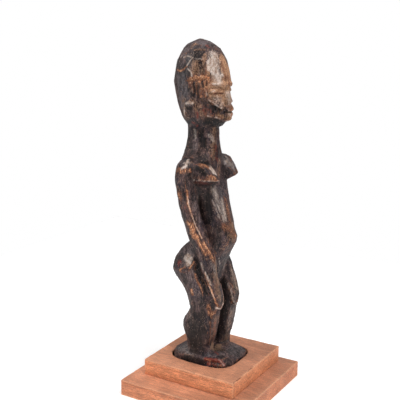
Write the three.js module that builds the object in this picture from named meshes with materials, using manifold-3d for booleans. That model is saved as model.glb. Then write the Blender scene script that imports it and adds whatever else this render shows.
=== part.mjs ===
// A carved wooden standing woman of the Lobi kind, let into a stand of two stacked boards.
// Millimetres, +Z up. The origin is the middle of the lower board's underside, and the figure faces -Y.
import * as THREE from "three";
import { mergeVertices } from "three/addons/utils/BufferGeometryUtils.js";
import Module from "manifold-3d";

const wasm = await Module();
wasm.setup();

// The stand: a wide lower board and a smaller upper board with a cut-out for the figure's foot slab.
const lowerWidth = 148;
const lowerDepth = 146;
const lowerThickness = 18;
const upperWidth = 112;
const upperDepth = 112;
const upperThickness = 18;
const upperShiftX = 7.8; // the upper board was glued on a little off the middle
const upperShiftY = 3.3;

// The foot slab and the cut-out around it.
const slabWidth = 66.4;
const slabDepth = 74.6;
const slabSquareness = 3.6; // 2 is an ellipse, higher is squarer
const cutOutClearance = 1.3; // all round the slab
const slabShiftX = -1; // from the upper board's middle
const slabShiftY = 3.5;

// The figure, from the underside of its foot slab to the crown. Its own stations are drawn on a grid
// that divides this height in gridSteps, so that the whole figure follows it.
const figureHeight = 366;
const gridSteps = 366;
const grid = figureHeight / gridSteps;

// A closed mesh through rings of points that run from the bottom up, with a flat fan at each end.
function loft(rings) {
  const count = rings[0].length;
  const points = rings.flat();
  const middle = (ring) => ring.reduce((sum, p) => sum.add(p), new THREE.Vector3()).divideScalar(count);
  const bottom = points.push(middle(rings[0])) - 1;
  const top = points.push(middle(rings.at(-1))) - 1;
  const last = (rings.length - 1) * count;
  const index = [];
  for (let i = 0; i < count; i++) {
    const next = (i + 1) % count;
    index.push(bottom, next, i, top, last + i, last + next);
    for (let low = 0; low < last; low += count) {
      const high = low + count;
      index.push(low + i, low + next, high + next, low + i, high + next, high + i);
    }
  }
  return new THREE.BufferGeometry().setFromPoints(points).setIndex(index);
}

// One horizontal section: w and d are its half width and half depth, n its squareness, and turn
// swings its corners round. rise and lean tilt it: how much it climbs per step of y and of x.
function section({ x = 0, y = 0, z, w, d, n = 2, turn = 0, rise = 0, lean = 0 }, sides) {
  return Array.from({ length: sides }, (_, i) => {
    const angle = (i / sides) * 2 * Math.PI;
    const bend = (v) => Math.sign(v) * Math.abs(v) ** (2 / n);
    const u = w * bend(Math.cos(angle - turn));
    const v = d * bend(Math.sin(angle - turn));
    const px = u * Math.cos(turn) - v * Math.sin(turn);
    const py = u * Math.sin(turn) + v * Math.cos(turn);
    return new THREE.Vector3(x + px, y + py, z + rise * py + lean * px).multiplyScalar(grid);
  });
}

// Sections every step or so up a run of stations, each value on a smooth line through the stations.
function fair(stations, step) {
  const names = Object.keys(stations[0]).filter((name) => name !== "z");
  const heights = stations.map((station) => station.z);
  const values = stations.flatMap((station) => names.map((name) => station[name]));
  const line = new THREE.CubicInterpolant(heights, values, names.length);
  const reach = heights.at(-1) - heights[0];
  const spans = Math.ceil(reach / step);
  return Array.from({ length: spans + 1 }, (_, i) => {
    const z = heights[0] + (reach * i) / spans;
    const found = line.evaluate(z);
    return { z, ...Object.fromEntries(names.map((name, k) => [name, found[k]])) };
  });
}

// A three.js geometry as a solid that can be joined and cut, and back again.
function solid(geometry) {
  const bare = geometry.clone();
  bare.deleteAttribute("normal");
  bare.deleteAttribute("uv");
  const merged = mergeVertices(bare, 1e-4);
  return new wasm.Manifold(
    new wasm.Mesh({
      numProp: 3,
      vertProperties: merged.attributes.position.array,
      triVerts: new Uint32Array(merged.index.array),
    }),
  );
}
function geometryOf(shape) {
  const { vertProperties, triVerts } = shape.getMesh();
  const geometry = new THREE.BufferGeometry()
    .setAttribute("position", new THREE.BufferAttribute(vertProperties, 3))
    .setIndex(new THREE.BufferAttribute(triVerts, 1));
  geometry.computeVertexNormals();
  return geometry;
}
const join = (shapes) => shapes.reduce((all, shape) => all.add(shape));
const column = (stations, { step, sides }) =>
  solid(loft(fair(stations, step).map((station) => section(station, sides))));
const eachSide = (make) => [-1, 1].map(make); // -1 is the figure's right, 1 its left

// The skull: a tall egg, drawn as a dome over the widest section and fair stations below it.
function skull() {
  const widest = { z: 321, y: 14.4, w: 24, d: 31.6, n: 2.1 };
  const crown = { z: 366, y: 17 };
  const below = fair(
    [
      { z: 276, y: 9.5, w: 14.5, d: 18, n: 2.2 },
      { z: 281, y: 10.5, w: 18, d: 22.5, n: 2.3 },
      { z: 288, y: 11.2, w: 20.6, d: 25.3, n: 2.3 },
      { z: 298, y: 12.1, w: 22.2, d: 27.6, n: 2.3 },
      { z: 310, y: 13.8, w: 23.3, d: 30, n: 2.2 },
      widest,
    ],
    5,
  );
  const domeRings = 8;
  const dome = Array.from({ length: domeRings }, (_, i) => {
    const climb = ((i + 1) / (domeRings + 0.6)) * (Math.PI / 2);
    const share = Math.cos(climb) ** 0.94;
    return {
      z: widest.z + (crown.z - widest.z) * Math.sin(climb),
      y: THREE.MathUtils.lerp(crown.y, widest.y, share),
      w: widest.w * share,
      d: widest.d * share,
      n: widest.n,
    };
  });
  return solid(loft([...below, ...dome].map((station) => section(station, 24))));
}

// The mask of the face, standing a little proud of the skull: cheeks that narrow down to the mouth.
function cheeks() {
  return column(
    [
      { z: 292.5, y: 4, w: 8, d: 23, n: 3 },
      { z: 296, y: 4, w: 12.5, d: 22.6, n: 2.8 },
      { z: 301, y: 4, w: 18, d: 22, n: 2.6 },
      { z: 306, y: 5.5, w: 21.5, d: 22.2, n: 2.5 },
      { z: 311, y: 7, w: 22.4, d: 22, n: 2.4 },
      { z: 316, y: 8, w: 21, d: 20, n: 2.4 },
    ],
    { step: 4, sides: 20 },
  );
}

function brow() {
  return column(
    [
      { z: 316.5, y: 4, w: 17, d: 18, n: 2.2 },
      { z: 319, y: 4, w: 20.4, d: 22.2, n: 2.2 },
      { z: 321.5, y: 4, w: 20.6, d: 22.6, n: 2.2 },
      { z: 326, y: 4, w: 17, d: 19, n: 2.2 },
    ],
    { step: 2.5, sides: 24 },
  );
}

function nose() {
  return column(
    [
      { z: 301, y: -10, w: 6, d: 10, n: 2.4 },
      { z: 302.5, y: -10, w: 6.6, d: 12.2, n: 2.4 },
      { z: 306, y: -10, w: 5.4, d: 11.6, n: 2.2 },
      { z: 312, y: -10, w: 3.6, d: 9, n: 2 },
      { z: 320, y: -10, w: 3.2, d: 8.4, n: 2 },
    ],
    { step: 3, sides: 14 },
  );
}

// The mouth pushes forward as one block; a cut between the lips divides it.
function mouth() {
  return column(
    [
      { z: 281.5, y: -4, w: 9, d: 10, n: 2.4 },
      { z: 284, y: -5, w: 10, d: 15, n: 2.4 },
      { z: 289, y: -6, w: 9.4, d: 14.8, n: 2.4 },
      { z: 294, y: -8, w: 9, d: 13.8, n: 2.6 },
      { z: 298, y: -8, w: 8.6, d: 14, n: 2.6 },
      { z: 302, y: -8, w: 7, d: 9.6, n: 2.6 },
    ],
    { step: 3, sides: 18 },
  );
}
const lipGap = { width: 30, depth: 10, height: 1, y: -24.5, z: 293 };
function lipCut() {
  const cut = new THREE.BoxGeometry(lipGap.width, lipGap.depth, lipGap.height);
  return solid(cut.translate(0, lipGap.y, lipGap.z).scale(grid, grid, grid));
}

// An eye: a long bean under the brow, slit along its lower half.
const eyeCentre = { x: 14.6, y: -9.2, z: 314 };
const eyeHalf = { length: 8, bulge: 3.2, height: 3.8 };
const eyeSlant = THREE.MathUtils.degToRad(28); // the face turns away this much at the eye
const slitSize = { length: 12.5, depth: 3.4, height: 0.9 };
const slitCentre = { x: 15.6, y: -12, z: 313 };
function eye(side) {
  const bean = new THREE.SphereGeometry(1, 14, 8).scale(eyeHalf.length, eyeHalf.bulge, eyeHalf.height);
  bean.rotateZ(side * eyeSlant);
  bean.translate(side * eyeCentre.x, eyeCentre.y, eyeCentre.z);
  return solid(bean.scale(grid, grid, grid));
}
function eyeSlit(side) {
  const slit = new THREE.BoxGeometry(slitSize.length, slitSize.depth, slitSize.height);
  slit.rotateZ(side * eyeSlant);
  slit.translate(side * slitCentre.x, slitCentre.y, slitCentre.z);
  return solid(slit.scale(grid, grid, grid));
}

// An ear: the rim of a C that opens forward.
const earCentre = { x: 20.8, y: 17.5, z: 294.5 };
const earHalf = { depth: 5.6, height: 7 };
const earRimRadius = 2.2;
const earOpening = THREE.MathUtils.degToRad(150);
function ear(side) {
  const bends = 6;
  const path = new THREE.CatmullRomCurve3(
    Array.from({ length: bends + 1 }, (_, i) => {
      const swept = ((2 * Math.PI - earOpening) * i) / bends;
      const angle = earOpening / 2 - Math.PI / 2 + swept;
      return new THREE.Vector3(0, earHalf.depth * Math.sin(angle), earHalf.height * Math.cos(angle));
    }),
  );
  const outline = new THREE.Shape().absarc(0, 0, earRimRadius, 0, 2 * Math.PI);
  const options = { extrudePath: path, steps: 2 * bends, curveSegments: 7, bevelEnabled: false };
  const rim = new THREE.ExtrudeGeometry(outline, options);
  rim.translate(side * earCentre.x, earCentre.y, earCentre.z);
  return solid(rim.scale(grid, grid, grid));
}

// The neck and trunk in one column, from the crotch to inside the skull.
function trunk() {
  return column(
    [
      { z: 98, y: 3, w: 9, d: 6, n: 2.2 },
      { z: 107, y: 4, w: 19, d: 16, n: 2.2 },
      { z: 120, y: 9.8, w: 24, d: 23.4, n: 2.3 },
      { z: 134, y: 2.2, w: 24, d: 21.2, n: 2.2 },
      { z: 146, y: -4.2, w: 22.5, d: 20.4, n: 2.1 },
      { z: 154, y: -7.4, w: 21.5, d: 21.4, n: 2 },
      { z: 164, y: -5, w: 21.5, d: 19.6, n: 2.3 },
      { z: 180, y: -0.5, w: 22, d: 18.7, n: 2.9 },
      { z: 198, y: 4, w: 24, d: 17.8, n: 2.9 },
      { z: 214, y: 8.5, w: 30, d: 18, n: 2.4 },
      { z: 228, y: 11, w: 33, d: 18.5, n: 2.2 },
      { z: 239, y: 12.8, w: 28, d: 20.6, n: 2.1 },
      { z: 250, y: 12.5, w: 19, d: 19.6, n: 2 },
      { z: 262, y: 12.3, w: 16.2, d: 17.8, n: 2 },
      { z: 282, y: 12, w: 15.5, d: 17, n: 2 },
    ],
    { step: 6, sides: 24 },
  );
}

// The arms, from the finger tips on the front of each thigh up to the shoulder. The left one keeps
// closer to the belly. The hands are flat; above the wrist the section is set cornerwise, which
// leaves a ridge down the whole arm.
const armStations = {
  right: [
    { z: 80.5, x: -17, y: -21.5, w: 4, d: 2 },
    { z: 84, x: -17.2, y: -21.5, w: 6.5, d: 3 },
    { z: 90, x: -18.6, y: -21, w: 8.6, d: 3.6 },
    { z: 101, x: -21, y: -19.2, w: 10, d: 4 },
    { z: 114, x: -24, y: -15.6, w: 10.5, d: 5 },
    { z: 126, x: -26.5, y: -12.8, w: 9.6, d: 8 },
    { z: 137, x: -27.8, y: -10.6, w: 8.4, d: 9.6 },
    { z: 146, x: -28.8, y: -8, w: 8.4, d: 10 },
    { z: 158, x: -30, y: -1.8, w: 9.4, d: 11 },
    { z: 171, x: -31, y: 2.8, w: 9.8, d: 10.8 },
    { z: 185, x: -32, y: 7.5, w: 10, d: 10.5 },
    { z: 201, x: -32.6, y: 10.8, w: 10.2, d: 10.8 },
    { z: 217, x: -32.8, y: 13.4, w: 10.6, d: 11.4 },
    { z: 229, x: -32, y: 14.6, w: 10.4, d: 11.2 },
    { z: 238, x: -29.5, y: 15, w: 8.6, d: 9.6 },
    { z: 245, x: -25, y: 15, w: 4.5, d: 5.5 },
  ],
  left: [
    { z: 75.5, x: 17, y: -20.6, w: 4, d: 2 },
    { z: 79, x: 17, y: -20.8, w: 6.2, d: 2.8 },
    { z: 85, x: 16.6, y: -20.6, w: 8, d: 3.2 },
    { z: 96, x: 16.6, y: -18.2, w: 9, d: 3.4 },
    { z: 109, x: 16.6, y: -13.2, w: 9.6, d: 4.2 },
    { z: 122, x: 18, y: -5.5, w: 8.6, d: 6.5 },
    { z: 134, x: 20, y: -1.5, w: 7.6, d: 8.2 },
    { z: 146, x: 24, y: -3.5, w: 8.4, d: 9.6 },
    { z: 158, x: 27, y: -1.2, w: 9.2, d: 10.4 },
    { z: 171, x: 29.2, y: 3, w: 9.8, d: 10.4 },
    { z: 185, x: 31, y: 7.5, w: 10, d: 10.5 },
    { z: 201, x: 32.3, y: 10.8, w: 10.2, d: 10.8 },
    { z: 217, x: 32.8, y: 13.4, w: 10.6, d: 11.4 },
    { z: 229, x: 32, y: 14.6, w: 10.4, d: 11.2 },
    { z: 238, x: 29.5, y: 15, w: 8.6, d: 9.6 },
    { z: 245, x: 25, y: 15, w: 4.5, d: 5.5 },
  ],
};
const wrist = { bottom: 112, top: 136 };
const handSection = { turn: 6, n: 2.6 }; // degrees, squareness
const armSection = { turn: 31, n: 1.5 };
function arm(name) {
  const turnedIn = name === "right" ? 1 : -1;
  const stations = fair(armStations[name], 5).map((station) => {
    const share = THREE.MathUtils.smoothstep(station.z, wrist.bottom, wrist.top);
    const blend = (key) => THREE.MathUtils.lerp(handSection[key], armSection[key], share);
    return { ...station, n: blend("n"), turn: turnedIn * THREE.MathUtils.degToRad(blend("turn")) };
  });
  return solid(loft(stations.map((station) => section(station, 12))));
}

// The wood left standing between an arm and the trunk, set back from both.
function web(side) {
  return column(
    [
      { z: 128, x: side * 22, y: 4, w: 6, d: 5, n: 2.4 },
      { z: 150, x: side * 23, y: 0, w: 8, d: 5, n: 2.4 },
      { z: 175, x: side * 25, y: 5, w: 9, d: 5, n: 2.4 },
      { z: 200, x: side * 26, y: 11, w: 9, d: 6, n: 2.4 },
      { z: 226, x: side * 26, y: 14, w: 9, d: 9, n: 2.4 },
    ],
    { step: 9, sides: 10 },
  );
}

// A leg with its half of the hips, from inside the foot slab to the waist.
function leg(side) {
  return column(
    [
      { z: 20, x: side * 19, y: 0.5, w: 11, d: 13.5, n: 3.6 },
      { z: 36, x: side * 19, y: 1.1, w: 11, d: 13.3, n: 3.6 },
      { z: 44, x: side * 19.5, y: 0.7, w: 11.5, d: 15.2, n: 3.8 },
      { z: 54, x: side * 19.5, y: 1.6, w: 12, d: 18.2, n: 4 },
      { z: 68, x: side * 20, y: -0.6, w: 12, d: 18.1, n: 4 },
      { z: 78, x: side * 20.5, y: -5, w: 11.5, d: 16.1, n: 3.6 },
      { z: 86, x: side * 20.5, y: -4.6, w: 12, d: 17.5, n: 3.2 },
      { z: 101, x: side * 19.6, y: 1.2, w: 14, d: 19.4, n: 2.6 },
      { z: 111, x: side * 19.2, y: 6.6, w: 16, d: 22, n: 2.4 },
      { z: 121, x: side * 19, y: 11.2, w: 17.5, d: 24.2, n: 2.2 },
      { z: 131, x: side * 17, y: 12.5, w: 16, d: 22, n: 2.1 },
      { z: 141, x: side * 14.5, y: 9.5, w: 14, d: 19, n: 2 },
      { z: 149, x: side * 12.5, y: 5.5, w: 12, d: 16, n: 2 },
      { z: 157, x: side * 10, y: 0, w: 9, d: 12, n: 2 },
    ],
    { step: 6, sides: 20 },
  );
}

// A breast: a blunt wedge that starts high on the chest, its inner side hanging lower. Its sections
// stand upright, one behind the other, so it is lofted upwards and then tipped forward.
const breastHang = THREE.MathUtils.degToRad(13);
const rightBreastDrop = 2.2; // the right one starts lower on the chest
function breast(side) {
  const drop = side < 0 ? rightBreastDrop : 0;
  const stations = [
    { z: -14, x: 20, y: 229, w: 13.5, d: 13.5 },
    { z: -3, x: 21, y: 229, w: 12, d: 14.4 },
    { z: 3, x: 21.2, y: 228.6, w: 11, d: 13.2 },
    { z: 7.5, x: 21, y: 227.8, w: 10, d: 11.2 },
    { z: 11, x: 20.5, y: 226.8, w: 8.6, d: 8.4 },
    { z: 14.5, x: 20, y: 225.2, w: 6.2, d: 4.8 },
    { z: 18.4, x: 19.8, y: 224.2, w: 3.4, d: 1.6 },
  ];
  const rings = fair(stations, 3).map(({ z, x, y, w, d }) =>
    section({ z, x: side * x, y: y - drop, w, d: d - drop / 2, n: 3.4, turn: side * breastHang }, 16),
  );
  return solid(loft(rings).rotateX(Math.PI / 2));
}

// The foot slab: an upright edge, higher at the right foot, and a low mound up to the feet.
function slabOutline(clearance) {
  const half = (size) => (size / 2 + clearance) / grid;
  return { z: 0, w: half(slabWidth), d: half(slabDepth), n: slabSquareness };
}
function slab() {
  const edge = slabOutline(0);
  const shoulder = { x: -2, y: 1.5, z: 23.5, w: edge.w - 2.5, d: edge.d - 4, lean: -0.06, rise: -0.02 };
  const mound = { z: 28, w: edge.w * 0.55, d: edge.d * 0.55 };
  const levels = [{}, { z: 19.5 }, shoulder, mound];
  return solid(loft(levels.map((level) => section({ ...edge, ...level }, 32))));
}

function carvedFigure() {
  const body = join([
    skull(),
    cheeks(),
    brow(),
    nose(),
    mouth(),
    ...eachSide(eye),
    ...eachSide(ear),
    trunk(),
    arm("right"),
    arm("left"),
    ...eachSide(web),
    ...eachSide(leg),
    ...eachSide(breast),
    slab(),
  ]);
  return [lipCut(), ...eachSide(eyeSlit)].reduce((left, cut) => left.subtract(cut), body);
}

// The stand's boards.
function boardOutline(width, depth) {
  return new THREE.Shape([
    new THREE.Vector2(-width / 2, -depth / 2),
    new THREE.Vector2(width / 2, -depth / 2),
    new THREE.Vector2(width / 2, depth / 2),
    new THREE.Vector2(-width / 2, depth / 2),
  ]);
}
function lowerBoard() {
  const options = { depth: lowerThickness, bevelEnabled: false };
  return new THREE.ExtrudeGeometry(boardOutline(lowerWidth, lowerDepth), options);
}
function upperBoard() {
  const outline = boardOutline(upperWidth, upperDepth);
  const edge = section(slabOutline(cutOutClearance), 64);
  const cutOut = edge.map((p) => new THREE.Vector2(p.x + slabShiftX, p.y + slabShiftY));
  outline.holes.push(new THREE.Path(cutOut));
  return new THREE.ExtrudeGeometry(outline, { depth: upperThickness, bevelEnabled: false });
}

// Waxed, almost black wood for the figure, and plain reddish wood for the boards.
const darkWood = { color: 0x3a2a22, roughness: 0.5, metalness: 0 };
const reddishWood = { color: 0xc07a52, roughness: 0.65, metalness: 0 };

function named(name, geometry, finish, x, y, z) {
  const mesh = new THREE.Mesh(geometry, new THREE.MeshStandardMaterial(finish));
  mesh.name = name;
  mesh.position.set(x, y, z);
  return mesh;
}

const figureX = upperShiftX + slabShiftX;
const figureY = upperShiftY + slabShiftY;
const model = new THREE.Group();
model.add(
  named("lower_board", lowerBoard(), reddishWood, 0, 0, 0),
  named("upper_board", upperBoard(), reddishWood, upperShiftX, upperShiftY, lowerThickness),
  named("figure", geometryOf(carvedFigure()), darkWood, figureX, figureY, lowerThickness),
);

export default model;
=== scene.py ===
import math

import bmesh
import bpy
import numpy as np
from mathutils import Matrix, Vector
from mathutils.kdtree import KDTree


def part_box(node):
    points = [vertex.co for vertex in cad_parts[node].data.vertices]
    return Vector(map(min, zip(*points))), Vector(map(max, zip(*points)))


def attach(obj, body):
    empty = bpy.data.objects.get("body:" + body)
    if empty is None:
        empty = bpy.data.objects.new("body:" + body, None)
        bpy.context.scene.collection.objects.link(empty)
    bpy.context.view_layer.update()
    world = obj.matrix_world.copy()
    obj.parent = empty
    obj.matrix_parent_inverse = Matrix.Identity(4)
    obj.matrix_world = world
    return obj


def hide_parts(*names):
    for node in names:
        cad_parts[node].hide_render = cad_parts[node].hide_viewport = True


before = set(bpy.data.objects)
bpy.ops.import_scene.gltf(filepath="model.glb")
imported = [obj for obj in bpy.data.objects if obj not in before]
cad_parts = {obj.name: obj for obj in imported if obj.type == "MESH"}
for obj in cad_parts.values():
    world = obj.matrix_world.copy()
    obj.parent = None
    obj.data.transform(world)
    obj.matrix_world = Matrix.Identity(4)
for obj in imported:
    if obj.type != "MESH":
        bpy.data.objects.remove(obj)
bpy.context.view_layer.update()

# Everything below is in millimetres until it goes into a mesh
mm = 0.001
lowerLow, lowerHigh = (np.array(corner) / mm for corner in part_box("lower_board"))
upperLow, upperHigh = (np.array(corner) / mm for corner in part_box("upper_board"))

# The figure is worked on from the middle of its slab's underside: x to its left, y to its back
slabFromBoardX = -1.0
slabFromBoardY = 3.5
figureSpot = np.array([
    (upperLow[0] + upperHigh[0]) / 2 + slabFromBoardX,
    (upperLow[1] + upperHigh[1]) / 2 + slabFromBoardY,
    lowerHigh[2],
])
scene = bpy.context.scene


def addObject(name, data):
    made = bpy.data.objects.new(name, data)
    scene.collection.objects.link(made)
    return made


class Recipe:
    # the nodes of a material or of the surround, each made where its result is used
    def __init__(self, owner, colours=None):
        owner.use_nodes = True
        self.owner = owner
        self.colours = colours
        self.tree = owner.node_tree
        self.spot = self.tree.nodes.new("ShaderNodeTexCoord")

    def feed(self, socket, source):
        # a source is another node's output, a value, or the name of one of the colours
        if isinstance(source, str):
            source = self.colours[source]
        if isinstance(source, bpy.types.NodeSocket):
            self.tree.links.new(source, socket)
        elif isinstance(source, tuple) and len(source) == 3 and socket.type == "RGBA":
            socket.default_value = (*source, 1)
        else:
            socket.default_value = source

    def set(self, node, values):
        for name, source in values.items():
            self.feed(self.tree.nodes[node].inputs[name], source)

    def add(self, kind, output, values, **choices):
        node = self.tree.nodes.new("ShaderNode" + kind)
        for choice, value in choices.items():
            setattr(node, choice, value)
        for name, source in values.items():
            self.feed(node.inputs[name], source)
        return node.outputs[output]

    def mark(self, name):
        return self.add("Attribute", "Fac", {}, attribute_name=name)

    def calc(self, operation, *sources):
        return self.add("Math", "Value", dict(enumerate(sources)), operation=operation)

    def lean(self, source, weight, onto):
        # a noise, counted from its middle value, on top of something else
        return self.calc("MULTIPLY_ADD", self.calc("SUBTRACT", source, 0.5), weight, onto)

    def stretched(self, x, y, z):
        # object coordinates in millimetres, pressed together where a factor is below 1
        values = {0: self.spot.outputs["Object"], 1: (x / mm, y / mm, z / mm)}
        return self.add("VectorMath", "Vector", values, operation="MULTIPLY")

    def noise(self, place, size, detail=3.0, rough=0.55, bend=0.0):
        return self.add("TexNoise", "Fac", {
            "Vector": place, "Scale": 1 / size, "Detail": detail, "Roughness": rough, "Distortion": bend,
        })

    def between(self, source, low, high, outLow=0.0, outHigh=1.0):
        return self.add("MapRange", "Result", {
            "Value": source, "From Min": low, "From Max": high, "To Min": outLow, "To Max": outHigh,
        }, interpolation_type="SMOOTHSTEP")

    def mix(self, share, first, second, blend="MIX"):
        # the colour sockets of this node are its inputs 6 and 7 and its output 2
        return self.add("Mix", 2, {0: share, 6: first, 7: second}, data_type="RGBA", blend_type=blend)

    def dim(self, colour, factor):
        return self.add("VectorMath", "Vector", {0: colour, "Scale": factor}, operation="SCALE")

    def bump(self, height, strength, distance):
        values = {"Height": height, "Strength": strength, "Distance": distance * mm}
        return self.add("Bump", "Normal", values)


camera = {
    "azimuth": -59.136,  # degrees, 0 looks along +y
    "elevation": 13.291,
    "roll": -0.65,
    "distance": 831.7,
    "aside": -16.97,  # how far the camera's foot point lies from the upper board's middle
    "height": 177.6,  # of the foot point, above the upper board's top
    "lens": 69.12,
    "frameWidth": 36,
}


def placeCamera(settings):
    azimuth = math.radians(settings["azimuth"])
    elevation = math.radians(settings["elevation"])
    roll = math.radians(settings["roll"])
    back = Vector((
        math.sin(azimuth) * math.cos(elevation),
        -math.cos(azimuth) * math.cos(elevation),
        math.sin(elevation),
    ))
    right = Vector((math.cos(azimuth), math.sin(azimuth), 0))
    up = back.cross(right)
    boardTop = Vector((*(upperLow + upperHigh)[:2] / 2, upperHigh[2]))
    eye = boardTop + right * settings["aside"] + Vector((0, 0, settings["height"]))
    eye = (eye + back * settings["distance"]) * mm
    rolledRight = right * math.cos(roll) - up * math.sin(roll)
    rolledUp = right * math.sin(roll) + up * math.cos(roll)
    lensData = bpy.data.cameras.new("camera")
    lensData.lens = settings["lens"]
    lensData.sensor_width = settings["frameWidth"]
    scene.camera = addObject("camera", lensData)
    rows = [(rolledRight[axis], rolledUp[axis], back[axis], eye[axis]) for axis in range(3)]
    scene.camera.matrix_world = Matrix((*rows, (0, 0, 0, 1)))


placeCamera(camera)
print("camera placed")

studio = {
    "backdrop": (1.0, 1.0, 1.0),  # what the camera sees behind the object
    "surroundFar": 0.5,  # strength of the white surround behind the object
    "surroundNear": 0.02,  # and on the photographer's side, where the room is darker
    "surroundLift": 0.25,  # how much brighter it is overhead
    "surroundFade": (-0.9, 0.5),  # from near to far, where the change starts and ends
    "floorColour": (0.9, 0.9, 0.9),
    "floorRoughness": 0.9,
    "floorGlow": 0.3,  # the table is lit from below a little, as for a cut-out photograph
    "floorSize": 1.1,  # metres
    "aimHeight": 0.2,  # of the point that the lamps look at, in metres
    # name: (direction it comes from, distance in metres, width, height, watts)
    "lamps": {
        "topLamp": ((-0.10, -0.30, 1.0), 1.5, 0.75, 0.75, 12),
        "frontLamp": ((-0.45, -0.82, 0.36), 1.7, 0.32, 0.85, 12),
        "sideLamp": ((-0.70, 0.58, 0.44), 1.7, 0.32, 0.85, 13),
    },
}


def addLamp(name, aimHeight, direction, distance, width, height, watts):
    lampData = bpy.data.lights.new(name, "AREA")
    lampData.shape = "RECTANGLE"
    lampData.size = width
    lampData.size_y = height
    lampData.energy = watts
    lamp = addObject(name, lampData)
    outward = Vector(direction).normalized()
    lamp.location = Vector((*figureSpot[:2] * mm, aimHeight)) + outward * distance
    lamp.rotation_euler = outward.to_track_quat("Z", "Y").to_euler()


def setSurround(settings):
    scene.world = bpy.data.worlds.new("surround")
    room = Recipe(scene.world)
    azimuth = math.radians(camera["azimuth"])
    away = (-math.sin(azimuth), math.cos(azimuth), settings["surroundLift"])
    ways = {0: room.spot.outputs["Generated"], 1: away}
    depth = room.add("VectorMath", "Value", ways, operation="DOT_PRODUCT")
    start, end = settings["surroundFade"]
    strength = room.add("MapRange", "Result", {
        "Value": depth, "From Min": start, "From Max": end,
        "To Min": settings["surroundNear"], "To Max": settings["surroundFar"],
    })
    room.set("Background", {"Color": (1, 1, 1), "Strength": strength})
    backdrop = room.add("Background", "Background", {"Color": settings["backdrop"]})
    seen = room.add("LightPath", "Is Camera Ray", {})
    around = room.tree.nodes["Background"].outputs["Background"]
    either = room.add("MixShader", "Shader", {"Fac": seen, 1: around, 2: backdrop})
    room.set("World Output", {"Surface": either})


def setStudio(settings):
    scene.view_settings.view_transform = "Standard"
    setSurround(settings)
    half = settings["floorSize"] / 2
    floorMesh = bpy.data.meshes.new("floor")
    corners = [(-half, -half, 0), (half, -half, 0), (half, half, 0), (-half, half, 0)]
    floorMesh.from_pydata(corners, [], [(0, 1, 2, 3)])
    floor = addObject("floor", floorMesh)
    paper = Recipe(bpy.data.materials.new("paper"))
    paper.set("Principled BSDF", {
        "Base Color": settings["floorColour"], "Roughness": settings["floorRoughness"],
        "Emission Color": (1, 1, 1), "Emission Strength": settings["floorGlow"],
    })
    floorMesh.materials.append(paper.owner)
    for name, lamp in settings["lamps"].items():
        addLamp(name, settings["aimHeight"], *lamp)


setStudio(studio)
print("studio lit")


def valuesOf(items, name, each, kind=float):
    flat = np.empty(len(items) * each, kind)
    items.foreach_get(name, flat)
    return flat.reshape(-1, each)


def pointsOf(mesh):
    return valuesOf(mesh.vertices, "co", 3) / mm


def normalsOf(mesh):
    return valuesOf(mesh.vertex_normals, "vector", 3)


def movePoints(mesh, points):
    mesh.vertices.foreach_set("co", (points * mm).ravel())
    mesh.update()


def finished(mesh, marks):
    # a smooth mesh that carries its marks for the material
    for name, values in marks.items():
        layer = mesh.attributes.new(name, "FLOAT", "POINT")
        layer.data.foreach_set("value", np.ascontiguousarray(values, dtype=np.float32))
    mesh.polygons.foreach_set("use_smooth", np.ones(len(mesh.polygons), bool))
    return mesh


def ramp(values, low, high):
    share = np.clip((values - low) / (high - low), 0, 1)
    return share * share * (3 - 2 * share)


class Web:
    # who is next to whom on a mesh, for smoothing points and spreading values
    stepIn = 0.5
    stepOut = 0.52  # slightly longer, so that nothing shrinks

    def __init__(self, mesh):
        ends = valuesOf(mesh.edges, "vertices", 2, np.int64)
        self.own = ends.ravel()
        self.other = ends[:, ::-1].ravel()
        self.count = len(mesh.vertices)
        self.number = np.bincount(self.own, minlength=self.count)

    def mean(self, values):
        columns = values.reshape(self.count, -1)
        sums = [np.bincount(self.own, c[self.other], self.count) for c in columns.T]
        return (np.stack(sums, 1) / self.number[:, None]).reshape(values.shape)

    def blur(self, values, rounds):
        for _ in range(rounds):
            values = (values + self.mean(values)) / 2
        return values

    def smooth(self, points, rounds, share):
        for _ in range(rounds):
            points = points + self.stepIn * share * (self.mean(points) - points)
            points = points - self.stepOut * share * (self.mean(points) - points)
        return points


def applied(mesh, kind, settings):
    # a new mesh with one modifier worked in; the block that carries the modifier goes again
    block = addObject("block", mesh)
    modifier = block.modifiers.new("work", kind)
    for name, value in settings.items():
        setattr(modifier, name, value)
    view = bpy.context.evaluated_depsgraph_get()
    made = bpy.data.meshes.new_from_object(block.evaluated_get(view))
    bpy.data.objects.remove(block)
    return made


weldGap = 0.001


def remeshed(node, voxel):
    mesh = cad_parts[node].data.copy()
    mesh.materials.clear()
    work = bmesh.new()
    work.from_mesh(mesh)
    bmesh.ops.remove_doubles(work, verts=work.verts, dist=weldGap * mm)
    work.to_mesh(mesh)
    work.free()
    return applied(mesh, "REMESH", {"mode": "VOXEL", "voxel_size": voxel * mm})


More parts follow.
